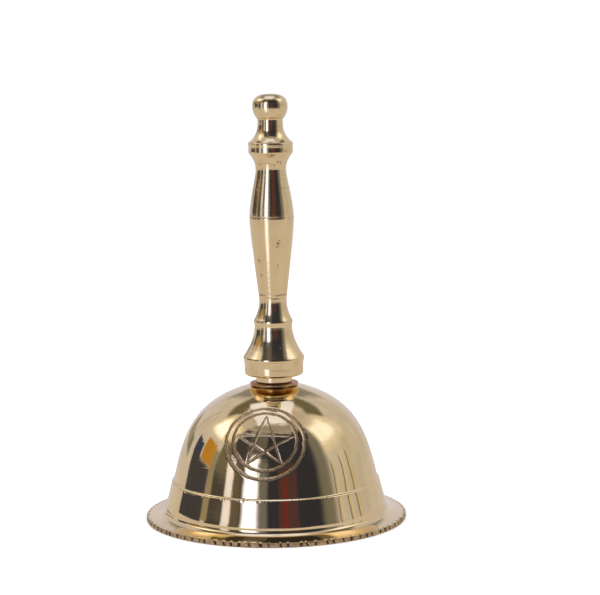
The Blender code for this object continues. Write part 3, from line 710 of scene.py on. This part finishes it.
# Cards of light and dark round the table. Each row: from and to azimuth, from and to elevation, softness in
# azimuth and elevation, colour. Azimuth is from the camera's side, positive to its right, in degrees. A later
# card covers the ones before it.
CARDS = (
    ("right_wall", 78, 150, -20, 30, 12, 8, (0.61, 0.60, 0.62)),
    ("left_cornice", -168, -122, 47, 62, 10, 6, (0.16, 0.155, 0.11)),
    ("right_cornice", 118, 166, 47, 62, 10, 6, (0.16, 0.155, 0.11)),
    ("back_low", -205, -150, -20, 20, 20, 8, (0.70, 0.68, 0.80)),
    ("back_panel", -200, -160, 24, 44, 8, 6, (0.28, 0.28, 0.30)),
    ("left_glow", -118, -68, 33, 56, 10, 6, (0.95, 0.90, 0.72)),
    ("left_lamp", -114, -86, 34, 52, 7, 7, (1.50, 1.50, 1.75)),
    ("right_glow", 62, 118, 26, 58, 12, 10, (0.82, 0.78, 0.71)),
    ("right_lamp", 70, 106, 33, 55, 10, 8, (1.22, 1.24, 1.40)),
    ("front_shade", -62, 60, -20, 60, 6, 6, (0.060, 0.060, 0.078)),
    ("front_haze", -40, -10, 36, 60, 8, 8, (0.14, 0.14, 0.15)),
    ("right_shade", 30, 60, -20, 60, 6, 6, (0.040, 0.046, 0.075)),
    ("front_dark", -12, 55, -20, 58, 4, 6, (0.034, 0.038, 0.060)),
    ("right_fade", 52, 68, -20, 60, 10, 6, (0.20, 0.20, 0.20)),
    ("front_top", -60, 60, 62, 75, 8, 4, (0.34, 0.33, 0.33)),
    ("red_wide", 3, 24, -20, 25, 4, 5, (0.090, 0.048, 0.058)),
    ("red_core", 7, 13, -20, 17, 3, 6, (0.17, 0.034, 0.034)),
    ("streak_halo", -20, -10, -20, 29, 5, 6, (0.18, 0.19, 0.22)),
    ("streak", -37, -21, -20, 30, 7, 9, (1.90, 2.15, 3.20)),
    ("brown_gap", -50, -41, -20, 24, 3, 5, (0.14, 0.12, 0.10)),
    ("left_olive", -78, -60, 12, 36, 3, 8, (0.17, 0.165, 0.12)),
    ("left_dark", -80, -60, -20, 14, 2, 8, (0.075, 0.072, 0.078)),
    ("pink_strip", -60, -51, -20, 25, 3, 6, (1.00, 1.02, 1.35)),
    ("tan_strip", -86, -78, 3, 25, 2, 3, (0.33, 0.30, 0.23)),
    ("amber", -105, -85.5, 11.5, 27.5, 1, 1, (0.52, 0.28, 0.045)),
    ("navy", -123, -107, 8, 19.5, 1.5, 1.5, (0.055, 0.065, 0.170)),
    ("charcoal", -122, -86, -3, 11, 3, 1.5, (0.063, 0.065, 0.090)),
    ("grey_chair", -158, -142, 1, 11, 3, 2, (0.35, 0.34, 0.27)),
    ("grey_desk", -142, -133, 2, 10, 2, 2, (0.22, 0.22, 0.20)),
    ("crease_left", -139, -137, 10, 38, 1.5, 6, (0.46, 0.44, 0.40)),
    ("dark_post", 70.5, 72, -3, 18, 1.0, 6, (0.16, 0.15, 0.14)),
    ("gold_post", 72.5, 74, -3, 18, 1.0, 6, (0.68, 0.56, 0.36)),
    ("dark_post_b", 84.5, 86.5, -3, 18, 1.0, 6, (0.20, 0.19, 0.17)),
    ("gold_post_b", 86.5, 88.5, -3, 18, 1.0, 6, (0.74, 0.62, 0.42)),
    ("dark_post_c", 97, 99, -3, 18, 1.0, 6, (0.22, 0.20, 0.18)),
    ("gold_post_c", 99, 101.5, -3, 18, 1.0, 6, (0.76, 0.64, 0.44)),
)
WINDOW_TILT_X = (-17, 13)
WINDOW_TILT_Y = (-30, 13)
# Azimuths of the painted streak of lamp light on the table
PAINTED_FLOOR_STREAK = (-35, -19)


def band(n, value, a, b, soft):
    """1 between a and b, fading to 0 over soft."""
    rise = n.range(value, a - soft / 2, a + soft / 2)
    return n.math("MULTIPLY", rise, n.range(value, b - soft / 2, b + soft / 2, 1.0, 0.0))


def azimuth_of(n, at, camera_azimuth):
    """Azimuth of a direction or place from the camera's side, in degrees, with its x, y and z."""
    turned = n.add("ShaderNodeVectorRotate", rotation_type="Z_AXIS", Vector=at, Angle=-camera_azimuth)
    x, y, z = n.add("ShaderNodeSeparateXYZ", Vector=turned.outputs[0]).outputs
    across = n.math("ARCTAN2", x, n.math("MULTIPLY", y, -1.0))
    return n.math("MULTIPLY", across, 180 / pi), x, y, z


def environment(camera_azimuth):
    """Glossy surfaces see the cards, the floor is lit evenly, and the camera sees plain white."""
    world = bpy.data.worlds.new("studio")
    bpy.context.scene.world = world
    world.use_nodes = True
    tree = world.node_tree
    n = Nodes(tree)
    shader = tree.nodes["Background"]
    direction = n.add("ShaderNodeTexCoord").outputs["Generated"]
    azimuth, x, y, z = azimuth_of(n, direction, camera_azimuth)
    elevation = n.math("MULTIPLY", n.math("ARCSINE", z), 180 / pi)
    mottle = n.range(n.noise(direction, 5.0, 4, 0.6), 0.3, 0.7, 0.90, 1.08, "LINEAR")

    colour = n.mix(n.range(elevation, 55, 80), (0.64, 0.63, 0.69), (0.52, 0.45, 0.44))
    for _, a0, a1, e0, e1, soft_a, soft_e, tint in CARDS:
        mask = n.math("MULTIPLY", band(n, azimuth, a0, a1, soft_a), band(n, elevation, e0, e1, soft_e))
        if a0 < -180:
            rest = band(n, azimuth, a0 + 360, a1 + 360, soft_a)
            mask = n.math("MAXIMUM", mask, n.math("MULTIPLY", rest, band(n, elevation, e0, e1, soft_e)))
        colour = n.mix(mask, colour, tint)
    tilt_x = n.math("MULTIPLY", n.math("ARCTAN2", x, z), 180 / pi)
    tilt_y = n.math("MULTIPLY", n.math("ARCTAN2", n.math("MULTIPLY", y, -1.0), z), 180 / pi)
    window = n.math("MULTIPLY", band(n, tilt_x, *WINDOW_TILT_X, 2), band(n, tilt_y, *WINDOW_TILT_Y, 2))
    colour = n.mix(window, colour, (0.95, 1.03, 1.38))
    uneven = n.add("ShaderNodeCombineColor", Red=mottle, Green=mottle, Blue=mottle).outputs[0]
    colour = n.mix(1.0, colour, uneven, "MULTIPLY")

    path = n.add("ShaderNodeLightPath").outputs
    lit = n.mix(path["Is Diffuse Ray"], colour, (1.5, 1.5, 1.5))
    seen = n.mix(path["Is Camera Ray"], lit, (1.0, 1.0, 1.0))
    n.feed(shader.inputs["Color"], seen)


def floor(camera_azimuth):
    """A pale table, plain white, that polished metal sees as a flat painted light, a little darker and with a
    painted streak of lamp light. It is clear from below.
    """
    radius, sides = 600.0, 96
    ring = [(radius * cos(2 * pi * k / sides), radius * sin(2 * pi * k / sides), -0.02) for k in range(sides)]
    material = bpy.data.materials.new("table_white")
    material.use_nodes = True
    n = Nodes(material.node_tree)
    shader = material.node_tree.nodes["Principled BSDF"]
    shader.inputs["Base Color"].default_value = (0.92, 0.92, 0.92, 1)
    shader.inputs["Roughness"].default_value = 0.9
    shader.inputs["Specular IOR Level"].default_value = 0.0
    at = n.add("ShaderNodeTexCoord").outputs["Object"]
    # Glossy rays see the table as this painted light instead of its lit surface
    painted_floor_light = n.mix(n.range(n.noise(at, 8, 3, 0.5), 0.3, 0.7), (0.62, 0.58, 0.58), (0.68, 0.64, 0.64))
    azimuth = azimuth_of(n, at, camera_azimuth)[0]
    far = n.range(n.add("ShaderNodeVectorMath", operation="LENGTH", Vector=at).outputs["Value"], 0.12, 0.22)
    # Painted streak of lamp light on the table, seen only in reflections
    painted_floor_light = n.mix(n.math("MULTIPLY", band(n, azimuth, *PAINTED_FLOOR_STREAK, 6), far), painted_floor_light, (1.50, 1.60, 2.20))
    card = n.add("ShaderNodeEmission", Color=painted_floor_light, Strength=1.0)
    path = n.add("ShaderNodeLightPath").outputs
    blend = n.add("ShaderNodeMixShader")
    n.feed(blend.inputs[0], path["Is Glossy Ray"])
    n.feed(blend.inputs[1], shader.outputs[0])
    n.feed(blend.inputs[2], card.outputs[0])
    clear = n.add("ShaderNodeBsdfTransparent")
    one_sided = n.add("ShaderNodeMixShader")
    n.feed(one_sided.inputs[0], n.add("ShaderNodeNewGeometry").outputs["Backfacing"])
    n.feed(one_sided.inputs[1], blend.outputs[0])
    n.feed(one_sided.inputs[2], clear.outputs[0])
    n.feed(material.node_tree.nodes["Material Output"].inputs["Surface"], one_sided.outputs[0])
    mesh = bpy.data.meshes.new("table")
    mesh.from_pydata([tuple(c * MM for c in p) for p in ring], [], [list(range(sides))])
    mesh.materials.append(material)
    item = bpy.data.objects.new("table", mesh)
    bpy.context.scene.collection.objects.link(item)


# ---------------------------------------------------------------- putting it together

def dress(node, material):
    """Gives a CAD node that stays a finished material."""
    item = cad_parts[node]
    item.data.shade_smooth()
    item.data.set_sharp_from_angle(angle=radians(35))
    item.data.materials.clear()
    item.data.materials.append(material)


def stand_for(item, node, body):
    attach(item, body)
    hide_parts(node)


def build():
    bpy.context.scene.view_settings.view_transform = "Standard"
    cup = metal("cup_brass", BRASS, BRASS_STAIN, 0.055, 0.14, lathe=0.0040, scratch=0.001, pits=0.003,
                pale=BRASS_PALE, dirt=0.92)
    grip = metal("handle_brass", BRASS, BRASS_STAIN, 0.15, 0.20, lathe=0.0070, scratch=0.001, pits=0.003,
                 pale=BRASS_PALE, dirt=0.6)
    brown = metal("washer_brown", (0.60, 0.38, 0.20), (0.38, 0.21, 0.10), 0.40, 0.8, lathe=0.002, pits=0.01)
    steel = metal("stud_steel", (0.46, 0.45, 0.43), (0.24, 0.17, 0.12), 0.34, 0.6, lathe=0.003, scratch=0.004)
    plate = metal("washer_steel", (0.52, 0.51, 0.49), (0.28, 0.20, 0.14), 0.38, 0.6, scratch=0.004)
    nut = metal("nut_steel", (0.50, 0.49, 0.47), (0.28, 0.20, 0.14), 0.36, 0.6, scratch=0.004)
    strip = metal("hanger_brass", (0.66, 0.49, 0.25), (0.34, 0.20, 0.10), 0.30, 0.5, scratch=0.004)
    pin = metal("pin_steel", (0.53, 0.52, 0.50), (0.30, 0.22, 0.15), 0.32, 0.4, scratch=0.003)
    rod = metal("rod_brass", (0.68, 0.51, 0.27), (0.36, 0.22, 0.11), 0.27, 0.5, lathe=0.002, scratch=0.003)
    ball = metal("ball_brass", (0.72, 0.54, 0.29), (0.38, 0.24, 0.12), 0.22, 0.5, lathe=0.0015,
                 scratch=0.004, pits=0.008)

    stand_for(cup_mesh(cup), "bell_cup", "bell")
    stand_for(handle_mesh(grip), "handle", "bell")
    stand_for(washer_mesh(brown), "crown_washer", "bell")
    for node, material in (("handle_stud", steel), ("inner_washer", plate), ("clamp_nut", nut),
                           ("clapper_hanger", strip), ("clapper_pin", pin), ("clapper_rod", rod),
                           ("clapper_ball", ball)):
        dress(node, material)
    camera_azimuth = camera()
    environment(camera_azimuth)
    floor(camera_azimuth)


build()
bpy.context.view_layer.update()
